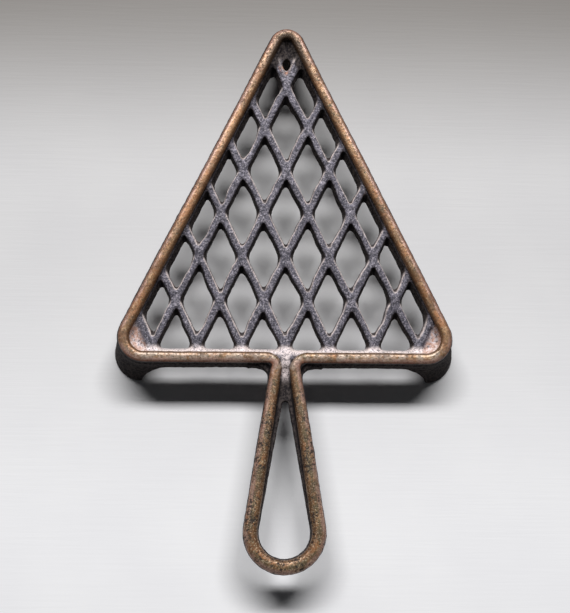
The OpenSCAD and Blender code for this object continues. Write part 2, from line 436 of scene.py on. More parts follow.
def webs(x, y, z, tri):
    """The webs in the nose and in the two back corners."""
    under_rim = tri + SLOPE_TOP_W - WEB_UNDER_RIM
    return np.minimum(nose_web(x, y, z, under_rim), corner_webs(x, y, z, under_rim))


def rim_walls(z, tri):
    """The deck of the rim and the skirt under it."""
    depth = DECK_Z - z
    deck = rounded(tri, -tri - SLOPE_TOP_W - SLOPE * depth, SLOPE_EDGE_R)
    deck = rounded(deck, between(z, BARS_Z, DECK_Z), RIM_EDGE_R)
    flare = SKIRT_FLARE * depth / (DECK_Z - SKIRT_Z)
    skirt = np.maximum(tri - flare, -tri - SKIRT_T)
    skirt = rounded(skirt, between(z, SKIRT_Z, DECK_Z), RIM_EDGE_R)
    return join(deck, skirt, SKIRT_FILLET)


def neck_fillets(x, y, z):
    """The wall that turns from the skirt into the handle's two sides."""
    side = np.abs(x) - NECK_R
    half = NECK_FILLET / 2
    block = np.maximum(np.abs(side - half), np.abs(y + half)) - half
    hollow = NECK_FILLET - np.hypot(side - NECK_FILLET, y + NECK_FILLET)
    wall = np.maximum(block - NECK_FILLET_ROOT, hollow)
    return rounded(wall, between(z, SKIRT_Z, DECK_Z - RIM_EDGE_R), RIM_EDGE_R)


def grip(x, y, z):
    """The handle's plate with its teardrop opening, lower between the strands."""
    body = teardrop(x, y, NECK_Y, NECK_R, LOOP_Y, LOOP_R)
    eye = teardrop(x, y, CROTCH_Y, CROTCH_R, LOOP_Y, LOOP_HOLE_R)
    top = WEB_Z + (DECK_Z - WEB_Z) * smooth_step(-y, *NECK_RISE)
    plate = rounded(body, between(z, HANDLE_Z, top), GRIP_EDGE_R)
    plate = rounded(plate, -eye, EYE_EDGE_R)
    return join(plate, neck_fillets(x, y, z), NECK_WALL_FILLET)


def bead(x, y, z):
    """The bead: a flattened half round with full shoulders."""
    line, radius = bead_line(x, y)
    wide = line / (radius + BEAD_SPREAD)
    high = np.abs(z - BEAD_Z) / (radius - BEAD_SINK)
    fullness = (wide**BEAD_POWER + high**BEAD_POWER) ** (1 / BEAD_POWER)
    ridge = np.maximum((fullness - 1) * radius, DECK_Z - BEAD_ROOT - z)
    notch = np.hypot(x - NOTCH[0], y - NOTCH[1]) - NOTCH_R
    return rounded(ridge, -notch, NOTCH_EDGE_R)


def foot(x, y, z, centre, splay, out, spread):
    """A piece of the rim's wall that leans out below a corner, hollowed at its sides."""
    drop = np.clip((SKIRT_Z - z) / SKIRT_Z, *LEAN_RANGE)
    leaning = triangle(x - splay[0] * drop, y - splay[1] * drop)
    wall = np.maximum(leaning - FOOT_PROUD, -leaning - SKIRT_T)
    px = x - centre[0]
    py = y - centre[1]
    result = rounded(wall, between(z, 0, SKIRT_Z + FOOT_ROOT), FOOT_EDGE_R)
    for side in (-1, 1):
        normal = out + side * spread
        along = side * (py * math.cos(normal) - px * math.sin(normal))
        short = FOOT_REACH + FOOT_CURVE_LEN - along
        hollow = np.hypot(np.maximum(short, 0), z - (SKIRT_Z - FOOT_CURVE_R))
        result = rounded(result, FOOT_CURVE_R - hollow, FOOT_CURVE_EDGE_R)
    return np.maximum(result, np.hypot(px, py) - FOOT_SPAN)


def feet(x, y, z):
    """The two feet under the back corners and the one under the nose."""
    out = (SIDE_ANGLE - math.pi / 2) / 2
    spread = (SIDE_ANGLE + math.pi / 2) / 2
    back = foot(np.abs(x), y, z, (CORNER_X, CORNER_R), TOE_SPLAY, out, spread)
    nose = foot(x, y, z, (0, NOSE_Y), NOSE_TOE_SPLAY, math.pi / 2, math.pi / 2 - SIDE_ANGLE)
    return np.minimum(back, nose)


def stand(x, y, z):
    """Signed distance to the whole casting."""
    wx = x + WANDER_PLAN * noise(WANDER_X, x, y, 0)
    wy = y + WANDER_PLAN * noise(WANDER_Y, x, y, 0)
    wz = z + WANDER_HEIGHT * noise(WANDER_Z, x, y, 0) * smooth_step(z, *LEVEL_Z)
    tri = triangle(wx, wy)
    inside = np.maximum(bars(wx, wy, wz), tri + SLOPE_TOP_W - BARS_UNDER_RIM)
    inside = join(inside, webs(wx, wy, wz, tri), WEB_FILLET)
    near_nose = smooth_step(y, NOSE_FILLET_START, FIRST_ROW_Y)
    fillet = LATTICE_FILLET + NOSE_FILLET_GROWTH * near_nose
    result = join(inside, rim_walls(wz, tri), fillet)
    result = join(result, grip(wx, wy, wz), GRIP_FILLET)
    result = join(result, bead(wx, wy, wz), BEAD_FILLET)
    return join(result, feet(wx, wy, wz), FOOT_FILLET)


def cast(x, y, z):
    """The casting with the unevenness that sand leaves, least on the polished bead."""
    line, radius = bead_line(x, y)
    worn = smooth_step(radius + WORN_W - line, 0, WORN_FADE) * smooth_step(z, *WORN_Z)
    lumps = LUMP_HEIGHT * noise(LUMPS, x, y, z) + GRIT_HEIGHT * noise(GRIT, x, y, z)
    dents = DENT_DEPTH * noise(DENTS, x, y, z)
    uneven = (1 - BEAD_LUMPS_GONE * worn) * lumps + (1 - BEAD_DENTS_GONE * worn) * dents
    return stand(x, y, z) + smooth_step(z, 0, FLAT_TOE_Z) * uneven


# ---- Which part of the casting belongs to which node ----

# How far a node of the bead reaches below the deck and beyond the bead's foot
BEAD_ZONE_ROOT = 0.4
BEAD_ZONE_W = 0.35
# How far the lattice and the webs reach under the rim
INNER_ZONE_W = 0.3
# A piece sinks under its neighbours' skin: its slope at the border, and its curve
SINK_SLOPE = 0.12
SINK_CURVE = 0.2


def zone(node, x, y, z):
    """Distance to the region of a node. It is negative inside."""
    line, radius = bead_line(x, y)
    on_bead = np.maximum(DECK_Z - BEAD_ZONE_ROOT - z, line - radius - BEAD_ZONE_W)
    behind = STRAND_TOP_Y - y
    inner = triangle(x, y) + RIM_W - INNER_ZONE_W
    under = z - SKIRT_Z
    if node == "rim_bead":
        return np.maximum(on_bead, behind)
    if node == "handle_bead":
        return np.maximum(on_bead, -behind)
    if node == "nose_web":
        return np.maximum(np.maximum(nose_v(x, y), inner), -under)
    if node.endswith("corner_web"):
        outwards = -x if node.startswith("left") else x
        return np.maximum(np.maximum(corner_v(x, y), inner), np.maximum(-outwards, -under))
    if node == "lattice":
        web = np.minimum(nose_v(x, y), corner_v(x, y))
        return np.maximum(np.maximum(inner, -web), -under)
    if node == "neck_web":
        return np.maximum(neck_strip(x, y), -on_bead)
    if node == "handle":
        handle = np.maximum(np.maximum(-behind, -on_bead), -under)
        return np.maximum(handle, -neck_strip(x, y))
    if node == "rim":
        around = np.maximum(np.maximum(-inner, behind), -under)
        return np.maximum(np.maximum(around, -on_bead), -neck_strip(x, y))
    side = {"left_foot": -1, "front_foot": 0, "right_foot": 1}[node]
    centre = (side * CORNER_X, CORNER_R) if side else (0, NOSE_Y)
    reach = FOOT_REACH + FOOT_CURVE_LEN + (CORNER_R if side else NOSE_R)
    return np.maximum(under, np.hypot(x - centre[0], y - centre[1]) - reach)


def piece_field(node, whole):
    """Distance to a node's share of the whole. It dips under its neighbours' skin."""

    def field(x, y, z):
        beyond = zone(node, x, y, z)
        sunk = np.maximum(beyond, 0)
        skin = whole(x, y, z) + SINK_SLOPE * sunk + SINK_CURVE * sunk**2
        return np.maximum(skin, beyond - OVERLAP)

    return field


# ---- Meshing ----

# A cell's corners are numbered by their bits, so that an edge's ends differ by one bit.
CORNERS = np.array([(i, j, k) for i in (0, 1) for j in (0, 1) for k in (0, 1)])
EDGES = [(a, a | bit) for bit in (1, 2, 4) for a in range(8) if not a & bit]

# Half the distance over which slopes are measured, in millimetres
SLOPE_REACH = 0.06
# The least squared slope that a vertex's move is worked out with
LEAST_STEEPNESS = 0.3


def net_points(values, cells):
    """A vertex for each cell that the surface passes through, in grid units."""
    at = cells[:, None, :] + CORNERS
    v = values[at[..., 0], at[..., 1], at[..., 2]]
    total = np.zeros((len(cells), 3))
    hits = np.zeros(len(cells))
    for a, b in EDGES:
        cut = (v[:, a] < 0) != (v[:, b] < 0)
        t = v[cut, a] / (v[cut, a] - v[cut, b])
        total[cut] += CORNERS[a] + t[:, None] * (CORNERS[b] - CORNERS[a])
        hits[cut] += 1
    return cells + total / hits[:, None]


def net_quads(inside, ids):
    """A quad for each grid edge that the surface crosses, wound to face outwards."""
    quads = []
    for axis in range(3):
        step_u = np.eye(3, dtype=int)[(axis + 1) % 3]
        step_w = np.eye(3, dtype=int)[(axis + 2) % 3]
        first = np.take(inside, range(inside.shape[axis] - 1), axis)
        second = np.take(inside, range(1, inside.shape[axis]), axis)
        edges = np.argwhere(first != second)
        around = [edges, edges - step_u, edges - step_u - step_w, edges - step_w]
        quad = np.stack([ids[tuple(cells.T)] for cells in around], axis=1)
        leaves = first[tuple(edges.T)]
        quad[~leaves] = quad[~leaves][:, ::-1]
        quads.append(quad)
    return np.concatenate(quads)


def surface_net(field, low, high):
    """Closed mesh of quads round the region where the field is negative."""
    axes = [np.arange(a, b + STEP, STEP) for a, b in zip(low, high)]
    values = field(*np.meshgrid(*axes, indexing="ij", sparse=True))
    values = np.pad(values, 1, constant_values=STEP)
    inside = values < 0
    cells_x, cells_y, cells_z = np.array(inside.shape) - 1
    count = np.zeros((cells_x, cells_y, cells_z), dtype=np.int8)
    for i, j, k in CORNERS:
        count += inside[i : cells_x + i, j : cells_y + j, k : cells_z + k]
    active = (count > 0) & (count < len(CORNERS))
    cells = np.argwhere(active)
    ids = np.full(active.shape, -1)
    ids[active] = np.arange(len(cells))
    points = low + STEP * (net_points(values, cells) - 1)
    return points, net_quads(inside, ids)


def slope_of(field, points):
    """The field and its gradient at points."""
    x, y, z = points.T
    h = SLOPE_REACH
    value = field(x, y, z)
    gradient = np.stack(
        [
            field(x + h, y, z) - field(x - h, y, z),
            field(x, y + h, z) - field(x, y - h, z),
            field(x, y, z + h) - field(x, y, z - h),
        ],
        axis=1,
    )
    return value, gradient / (2 * h)


def settle(field, points, rounds=2):
    """Move the vertices onto the surface, by at most one grid step in all."""
    limit = STEP / rounds
    for _ in range(rounds):
        value, gradient = slope_of(field, points)
        steep = np.maximum((gradient**2).sum(axis=1), LEAST_STEEPNESS)
        move = gradient * (value / steep)[:, None]
        reach = np.linalg.norm(move, axis=1)
        points = points - move * np.minimum(1, limit / np.maximum(reach, 1e-9))[:, None]
    return points


# ---- What the material needs to know at each vertex ----
# A pair of numbers is the start and the end of a soft change. Distances are in millimetres.

# How far out and in the surroundings of a vertex are probed
CREVICE_REACH = 1.0
POCKET_REACH = 3.0
EDGE_REACH = 0.8

BEAD_COLOUR_W = 0.45
BEAD_COLOUR_FADE = (0, 0.7)
BEAD_COLOUR_Z = (DECK_Z - 0.5, DECK_Z + 0.7)
INSIDE_BEAD = (BEAD_AXIS, BEAD_AXIS + BEAD_R)

# Painted shade: the nose's pocket, the bars' ends beside it, the handle's crotch, outer walls
NOSE_POCKET_Y = (HANG_Y, HANG_Y + 3)
NOSE_SIDES_Y = (HANG_Y - 16, HANG_Y - 6)
NOSE_SIDES_RIM = (-RIM_W - 2.6, -RIM_W - 0.6)
CROTCH_SHADE_Y = (6, 10)
CROTCH_SHADE = 0.75
OUTER_WALL = (-0.5, -0.1)
# Darker towards the handle's end
HANDLE_DARKENING_Y = (12, 20)
HANDLE_DARKENING = 0.6

# Painted shade on walls, from the upright share of the normal, and painted highlights on the
# arrises that face the nose and the light
WALL_NORMAL = (0.35, 0.85)
WALL_LIGHT = 0.6
ARRIS_NORMAL = (0.6, 0.97)
TO_NOSE_NORMAL = (0.0, 0.4)
ARRIS_Z = (DECK_Z - 2.4, DECK_Z - 0.9)
BELOW_ARRIS = 0.1

# Places with a painted sheen, and copper-coloured places
LEDGE_START = (-RIM_W - 2, -RIM_W + 0.3)
LEDGE_END = (0, BEAD_AXIS)
CORNER_FADE = (-0.5, 0.8)
CORNER_PALE = 0.75
CORNER_COPPER = 0.8
STRIP_FADE = (-0.5, 0.5)
NECK_PALE_Y = (-8, -3)
HOLE_LIP = (-2.4, -1.0)
HOLE_LIP_Y = (-HANG_Y, -HANG_Y + 1.5)
HOLE_LIP_X = (-1.8, 0.2)

# Stretches of the bead with their own colours, and the nose's inner side, where shade is painted
HANDLE_COLOUR_Y = (0, 20)
BASE_START = (-7, -4)
BASE_END = (-8, 0)
NOSE_SHADE_Y = (HANG_Y - 8, HANG_Y + 2)
NOSE_SHADE_RIM = (1.0, 3.6)


def bead_facts(x, y, z):
    """Whether a point is on the bead, and where between the bead's inner and outer foot."""
    line, radius = bead_line(x, y)
    over_bead = smooth_step(radius + BEAD_COLOUR_W - line, *BEAD_COLOUR_FADE)
    return {
        "bead": over_bead * smooth_step(z, *BEAD_COLOUR_Z),
        "across": np.clip(0.5 + 0.5 * (outline(x, y) + BEAD_AXIS) / radius, 0, 1),
    }


def depth_facts(points, normal):
    """How enclosed a point is, near by and farther out, and how sharp its edge is."""
    near = stand(*(points + CREVICE_REACH * normal).T)
    far = stand(*(points + POCKET_REACH * normal).T)
    core = stand(*(points - EDGE_REACH * normal).T)
    return {
        "crevice": np.clip(1 - near / CREVICE_REACH, 0, 1),
        "pocket": np.clip(1 - far / POCKET_REACH, 0, 1),
        "edge": np.clip(1 + core / EDGE_REACH, 0, 1),
    }


def darkened_places(x, y, inside):
    """Places darkened towards black: painted shade in the nose's pocket, on the bars' ends beside
    it, in the handle's crotch and on the outer walls, and a darkening towards the handle's end.
    """
    tri = triangle(x, y)
    nose_pocket = smooth_step(y, *NOSE_POCKET_Y) * inside
    nose_sides = smooth_step(y, *NOSE_SIDES_Y) * smooth_step(tri, *NOSE_SIDES_RIM) * inside
    strip = smooth_step(-neck_strip(x, y), *STRIP_FADE)
    crotch = CROTCH_SHADE * strip * smooth_step(-y, *CROTCH_SHADE_Y)
    outer_wall = smooth_step(tri, *OUTER_WALL)
    handle = HANDLE_DARKENING * smooth_step(-y, *HANDLE_DARKENING_Y)
    return np.maximum.reduce([nose_pocket, nose_sides, crotch, outer_wall, handle])


def wall_facts(x, y, z, normal, inside):
    """Painted shade on the walls, weaker where they face the light at the nose, and a painted
    highlight on the upper arrises of the bars that face the nose.
    """
    steep = 1 - smooth_step(normal[:, 2], *WALL_NORMAL)
    to_nose = smooth_step(normal[:, 1], *TO_NOSE_NORMAL) * inside
    arris = BELOW_ARRIS + (1 - BELOW_ARRIS) * smooth_step(z, *ARRIS_Z)
    tilted = 1 - smooth_step(normal[:, 2], *ARRIS_NORMAL)
    return {
        # Painted shade on steep walls and in the darkened places
        "wall": np.maximum(steep * (1 - WALL_LIGHT * to_nose), darkened_places(x, y, inside)),
        # Painted highlight on the upper arrises that face the light
        "lit": tilted * to_nose * inside * arris,
    }


def sheen_and_copper_facts(x, y, inside):
    """The painted sheen on the ledge, corners and neck, and the copper lip of the hanging hole."""
    ledge = smooth_step(-y, *LEDGE_START) * smooth_step(y, *LEDGE_END)
    corner = CORNER_PALE * smooth_step(-corner_v(x, y), *CORNER_FADE)
    neck = smooth_step(-neck_strip(x, y), *STRIP_FADE) * smooth_step(y, *NECK_PALE_Y)
    lip = smooth_step(-hang_hole(x, y), *HOLE_LIP) * smooth_step(-y, *HOLE_LIP_Y)
    lip = lip * smooth_step(-x, *HOLE_LIP_X)
    return {
        # Painted sheen on the ledge, the corner webs and the neck
        "pale": np.maximum(np.maximum(ledge, corner) * inside, neck),
        "copper": np.maximum(lip, CORNER_COPPER * corner * inside),
    }


def stretch_facts(x, y):
    """The handle and the back rail, whose beads differ in colour, and the nose's inner side, where
    shade is painted on the bead.
    """
    off_rim = smooth_step(-outline(x, y), *NOSE_SHADE_RIM)
    return {
        "handle": smooth_step(-y, *HANDLE_COLOUR_Y),
        "base": smooth_step(-y, *BASE_START) * smooth_step(y, *BASE_END),
        "nose": smooth_step(y, *NOSE_SHADE_Y) * off_rim,
    }


def surface_facts(points):
    """Values from 0 to 1 that tell the material where on the casting each vertex is."""
    _, gradient = slope_of(stand, points)
    normal = gradient / np.maximum(np.linalg.norm(gradient, axis=1), 1e-6)[:, None]
    x, y, z = points.T
    inside = smooth_step(-triangle(x, y), *INSIDE_BEAD)
    return {
        **bead_facts(x, y, z),
        **depth_facts(points, normal),
        **wall_facts(x, y, z, normal, inside),
        **sheen_and_copper_facts(x, y, inside),
        **stretch_facts(x, y),
    }


def cast_piece(node):
    """Vertices, quads and vertex facts of one node's share of the casting."""
    low, high = box_mm(node)
    smooth = piece_field(node, stand)
    points, quads = surface_net(smooth, low - PLAN_ORIGIN - MARGIN, high - PLAN_ORIGIN + MARGIN)
    points = settle(piece_field(node, cast), points)
    return points, quads, surface_facts(points)


def make_piece(node, material):
    """Put one node's share of the casting in the node's place."""
    points, quads, facts = cast_piece(node)
    mesh = bpy.data.meshes.new("cast_" + node)
    mesh.from_pydata(((points + PLAN_ORIGIN) * MM).tolist(), [], quads.tolist())
    for name, values in facts.items():
        layer = mesh.attributes.new(name, "FLOAT", "POINT")
        layer.data.foreach_set("value", values.astype(np.float32))
    mesh.polygons.foreach_set("use_smooth", np.ones(len(quads), dtype=bool))
    mesh.materials.append(material)
    mesh.update()
    piece = bpy.data.objects.new("cast_" + node, mesh)
    bpy.context.scene.collection.objects.link(piece)
    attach(piece, "root")
    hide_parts(node)


# ---- Materials ----


class Tree:
    """Short names for the shader nodes of one material."""

    def __init__(self, name):
        self.material = bpy.data.materials.new(name)
        self.material.use_nodes = True
        self.nodes = self.material.node_tree.nodes
        self.links = self.material.node_tree.links
        self.nodes.clear()
        coordinates = self.nodes.new("ShaderNodeTexCoord")
        scale = self.nodes.new("ShaderNodeVectorMath")
        scale.operation = "SCALE"
        scale.inputs["Scale"].default_value = 1 / MM
        self.links.new(coordinates.outputs["Object"], scale.inputs[0])
        self.place = scale.outputs[0]

    def feed(self, socket, value):
        """Set an input to a value or link it to an output."""
        if isinstance(value, bpy.types.NodeSocket):
            self.links.new(value, socket)
        elif isinstance(value, tuple) and len(value) == 3 and socket.type == "RGBA":
            socket.default_value = (*value, 1)
        else:
            socket.default_value = value

    def math(self, operation, a, b=0.0, clamp=False):
        """A calculation with two numbers, named as Blender names it."""
        node = self.nodes.new("ShaderNodeMath")
        node.operation = operation
        node.use_clamp = clamp
        self.feed(node.inputs[0], a)
        self.feed(node.inputs[1], b)
        return node.outputs[0]

    def times(self, a, b):
        """Product of two numbers."""
        return self.math("MULTIPLY", a, b)

    def along(self, axis):
        """A coordinate in millimetres: 0 is X, 1 is Y and 2 is Z."""
        node = self.nodes.new("ShaderNodeSeparateXYZ")
        self.feed(node.inputs[0], self.place)
        return node.outputs[axis]

    def stretched(self, factors):
        """The place, multiplied along each axis."""
        node = self.nodes.new("ShaderNodeVectorMath")
        node.operation = "MULTIPLY"
        self.feed(node.inputs[0], self.place)
        self.feed(node.inputs[1], factors)
        return node.outputs[0]

    def noise(self, size, detail=2.0, roughness=0.5, seed=0.0):
        """Noise with features about size millimetres wide, or scaled along each axis."""
        node = self.nodes.new("ShaderNodeTexNoise")
        node.noise_dimensions = "4D"
        place = self.stretched(size) if isinstance(size, tuple) else self.place
        self.feed(node.inputs["Vector"], place)
        self.feed(node.inputs["W"], seed)
        self.feed(node.inputs["Scale"], 1 if isinstance(size, tuple) else 1 / size)
        self.feed(node.inputs["Detail"], detail)
        self.feed(node.inputs["Roughness"], roughness)
        return node.outputs["Fac"]

    def ramp(self, value, start, end, low=0.0, high=1.0):
        """Smooth change from low to high while the value goes from start to end."""
        node = self.nodes.new("ShaderNodeMapRange")
        node.interpolation_type = "SMOOTHSTEP"
        self.feed(node.inputs["Value"], value)
        self.feed(node.inputs["From Min"], start)
        self.feed(node.inputs["From Max"], end)
        self.feed(node.inputs["To Min"], low)
        self.feed(node.inputs["To Max"], high)
        return node.outputs["Result"]

    def mix(self, factor, a, b):
        """Colour a where the factor is 0 and colour b where it is 1."""
        node = self.nodes.new("ShaderNodeMix")
        node.data_type = "RGBA"
        self.feed(node.inputs[0], factor)
        self.feed(node.inputs[6], a)
        self.feed(node.inputs[7], b)
        return node.outputs[2]

    def mix_normals(self, factor, a, b):
        """Normal a where the factor is 0 and normal b where it is 1."""
        node = self.nodes.new("ShaderNodeMix")
        node.data_type = "VECTOR"
        self.feed(node.inputs[0], factor)
        self.feed(node.inputs[4], a)
        self.feed(node.inputs[5], b)
        return node.outputs[1]

    def blend(self, factor, a, b):
        """Number a where the factor is 0 and number b where it is 1."""
        node = self.nodes.new("ShaderNodeMix")
        self.feed(node.inputs[0], factor)
        self.feed(node.inputs[2], a)
        self.feed(node.inputs[3], b)
        return node.outputs[0]

    def fact(self, name):
        """A value stored at the vertices."""
        node = self.nodes.new("ShaderNodeAttribute")
        node.attribute_name = name
        return node.outputs["Fac"]

    def bump(self, height, distance, normal=None):
        """Bumps whose height of 1 stands for a distance in millimetres."""
        node = self.nodes.new("ShaderNodeBump")
        self.feed(node.inputs["Height"], height)
        self.feed(node.inputs["Distance"], distance * MM)
        self.feed(node.inputs["Strength"], 1.0)
        if normal is not None:
            self.feed(node.inputs["Normal"], normal)
        return node.outputs["Normal"]

    def finish(self, **inputs):
        """Connect a Principled shader and return the material."""
        shader = self.nodes.new("ShaderNodeBsdfPrincipled")
        output = self.nodes.new("ShaderNodeOutputMaterial")
        self.links.new(shader.outputs[0], output.inputs["Surface"])
        for name, value in inputs.items():
            self.feed(shader.inputs[name.replace("_", " ")], value)
        return self.material


# Linear colours of the iron
IRON_DARK = (0.020, 0.019, 0.028)
IRON_GREY = (0.098, 0.090, 0.118)
IRON_BRIGHT = (0.36, 0.33, 0.37)
RUST = (0.085, 0.046, 0.030)
# Colour of the painted sheen on the ledge, the corner webs and the neck
SHEEN_COLOUR = (0.66, 0.57, 0.56)
LIT_EDGE = (0.92, 0.80, 0.76)
COPPER = (0.45, 0.20, 0.10)

# Linear colours of the bead
BRONZE = (0.31, 0.168, 0.076)
BRONZE_WARM = (0.34, 0.150, 0.060)
BRONZE_DARK = (0.060, 0.036, 0.022)
BRONZE_BROWN = (0.135, 0.062, 0.026)
BRONZE_RED = (0.26, 0.100, 0.058)
BRONZE_PALE = (0.50, 0.33, 0.18)
MAUVE = (0.40, 0.245, 0.200)
BUFF = (0.40, 0.32, 0.265)
GRAIN_PALE = (0.66, 0.52, 0.36)
OLIVE = (0.105, 0.088, 0.045)

# Linear colours of near-black specks and painted shade, and of the floor
NEAR_BLACK = (0.010, 0.008, 0.009)
SHADE_BROWN = (0.060, 0.049, 0.045)
FLOOR_LIGHT = (0.79, 0.79, 0.80)
FLOOR_MID = (0.76, 0.76, 0.775)
FLOOR_SHADE = (0.080, 0.066, 0.052)

# Stretches along Y, in millimetres, in which painted shade darkens the floor a little,
# darkens it more, and fades back to pale
FIRST_SHADE = (-120, 50)
SECOND_SHADE = (38, 150)
SHADE_END = (165, 380)
# Features per millimetre of the floor's brush strokes, along each axis
STROKES = (0.03, 0.7, 1)

# Heights of the bumps in the materials, in millimetres
GRAIN_BUMP = 0.14
COARSE_BUMP = 0.2
PIT_BUMP = 0.1
STROKE_BUMP = 0.045


def bare_iron(tree, speckle):
    """Grey with a coarse speckle whose bright grains are partly painted glints, brighter on edges
    and rusty in hollows.
    """
    colour = tree.mix(tree.ramp(speckle, 0.4, 0.6), IRON_DARK, IRON_GREY)
    # Bright grains: partly the iron's grain, partly painted glints
    bright_grains_and_glints = tree.ramp(tree.noise(0.6, 4, 0.74, 8), 0.49, 0.62, 0, 0.85)
    colour = tree.mix(bright_grains_and_glints, colour, IRON_BRIGHT)
    dark = tree.ramp(tree.noise(0.7, 4, 0.74, 23), 0.49, 0.6, 0, 0.7)
    colour = tree.mix(dark, colour, IRON_DARK)
    worn = tree.times(tree.ramp(tree.fact("edge"), 0.1, 0.7), 0.3)
    colour = tree.mix(worn, colour, IRON_BRIGHT)
    patches = tree.ramp(tree.noise(9, 3, 0.55, 3), 0.35, 0.6)
    rusty = tree.times(tree.ramp(tree.fact("pocket"), 0.25, 0.8), patches)
    return tree.mix(rusty, colour, RUST)


def iron_colour(tree, speckle):
    """Bare iron with painted shade on its walls, a painted sheen on ledges and webs, a painted
    highlight on arrises that face the light, and copper-coloured places.
    """
    # Painted shade on the walls, near-black with brown streaks
    wall_shade = tree.mix(tree.ramp(tree.noise(1.0, 4, 0.72, 18), 0.42, 0.58), NEAR_BLACK, SHADE_BROWN)
    colour = tree.mix(tree.times(tree.fact("wall"), 0.97), bare_iron(tree, speckle), wall_shade)
    grains = tree.noise(0.6, 4, 0.72, 11)
    # Painted sheen on the ledge, the corner webs and the neck
    sheen = tree.times(tree.fact("pale"), tree.ramp(grains, 0.4, 0.53, 0.1, 1))
    colour = tree.mix(sheen, colour, SHEEN_COLOUR)
    # Painted highlight on the arrises that face the light
    on_edges = tree.times(tree.fact("lit"), tree.ramp(grains, 0.38, 0.52, 0.1, 1.0))
    colour = tree.mix(on_edges, colour, LIT_EDGE)
    flecks = tree.ramp(tree.noise(1.6, 3, 0.6, 15), 0.4, 0.56, 0, 0.9)
    return tree.mix(tree.times(tree.fact("copper"), flecks), colour, COPPER)


def bronze_patches(tree, across):
    """Golden brown with warmer, pale, olive, dull and buff patches. The buff on the back rail is
    partly a painted highlight.
    """
    handle = tree.fact("handle")
    base = tree.fact("base")
    colour = tree.mix(tree.ramp(tree.noise(7, 4, 0.65, 19), 0.42, 0.58), BRONZE, BRONZE_WARM)
    pale = tree.ramp(tree.noise(2.2, 4, 0.7, 6), 0.5, 0.64, 0, 0.7)
    colour = tree.mix(pale, colour, BRONZE_PALE)

    # Olive gathers on the back rail and along the middle of the handle's bead.
    off_middle = tree.math("ABSOLUTE", tree.math("SUBTRACT", tree.times(across, 2.0), 1.0))
    middle = tree.times(handle, tree.math("SUBTRACT", 1.0, off_middle))
    greener = tree.math("ADD", tree.times(middle, 0.14), tree.times(base, 0.05))
    olive = tree.math("ADD", tree.noise(3.4, 5, 0.72, 5), greener)
    colour = tree.mix(tree.ramp(olive, 0.54, 0.64, 0, 0.85), colour, OLIVE)

    dull = tree.ramp(tree.noise(11, 4, 0.65, 24), 0.42, 0.6, 0, 0.45)
    dull = tree.math("ADD", dull, tree.blend(handle, 0.12, 0))
    colour = tree.mix(dull, colour, BRONZE_DARK)
    # Buff on the back rail's bead, partly its tone and partly a painted highlight
    buff = tree.ramp(tree.noise(3.2, 5, 0.72, 21), 0.42, 0.56, 0, 0.8)
    return tree.mix(tree.times(buff, base), colour, BUFF)


def bronze_sides(tree, colour, across):
    """Bands along the bead: pinkish and red outside the crest, partly wear and partly painted
    light, and painted shade in dark brown inside it.
    """
    # The pinkish and red outer shoulder is partly wear and partly painted light
    outer = tree.ramp(tree.noise(6, 3, 0.6, 20), 0.38, 0.56, 0.1, 0.85)
    colour = tree.mix(tree.times(tree.ramp(across, 0.52, 0.74), outer), colour, MAUVE)
    red = tree.ramp(tree.noise(7, 3, 0.5, 7), 0.38, 0.56, 0.3, 0.9)
    colour = tree.mix(tree.times(tree.ramp(across, 0.78, 0.92), red), colour, BRONZE_RED)
    # Painted shade: the bead's inner side darkens to brown
    return tree.mix(tree.ramp(across, 0.06, 0.36, 0.85, 0), colour, BRONZE_BROWN)


def bronze_colour(tree, specks):
    """Bronze patches in bands along the bead, under fine pale and dark grains.

    The grains are strongest on the handle, and painted shade darkens the nose's inner side.
    """
    handle = tree.fact("handle")
    across = tree.fact("across")
    colour = bronze_sides(tree, bronze_patches(tree, across), across)
    pale = tree.ramp(tree.noise(0.55, 3, 0.7, 22), 0.52, 0.64, 0, 0.75)
    colour = tree.mix(tree.times(pale, tree.blend(handle, 0.3, 0.95)), colour, GRAIN_PALE)
    dark = tree.ramp(tree.noise(0.6, 4, 0.72, 16), 0.48, 0.62, 0, 0.6)
    colour = tree.mix(dark, colour, BRONZE_DARK)
    # Painted shade on the nose's inner side
    colour = tree.mix(tree.times(tree.fact("nose"), 0.9), colour, BRONZE_DARK)
    # Painted shade: a dark line along the bead's outer foot
    colour = tree.mix(tree.ramp(across, 0.93, 1.0, 0, 0.95), colour, NEAR_BLACK)
    return tree.mix(tree.times(specks, tree.blend(handle, 0.35, 1.0)), colour, NEAR_BLACK)


def dark_specks(tree):
    """Fine dark specks that crowd together in places."""
    crowd = tree.ramp(tree.noise(5, 2, 0.5, 17), 0.35, 0.65, 0, 0.1)
    return tree.ramp(tree.math("ADD", tree.noise(1.0, 4, 0.7, 9), crowd), 0.56, 0.66, 0, 0.9)


def casting_normal(tree, on_bead, specks):
    """Coarse grain on the iron, and fine grain with pits at the specks on the bead."""
    grain = tree.bump(tree.noise(0.6, 3, 0.7, 12), GRAIN_BUMP)
    coarse = tree.bump(tree.noise(1.8, 2, 0.5, 13), COARSE_BUMP, grain)
    pitted = tree.math("SUBTRACT", tree.noise(0.8, 3, 0.65, 14), tree.times(specks, 0.4))
    return tree.mix_normals(on_bead, coarse, tree.bump(pitted, PIT_BUMP))


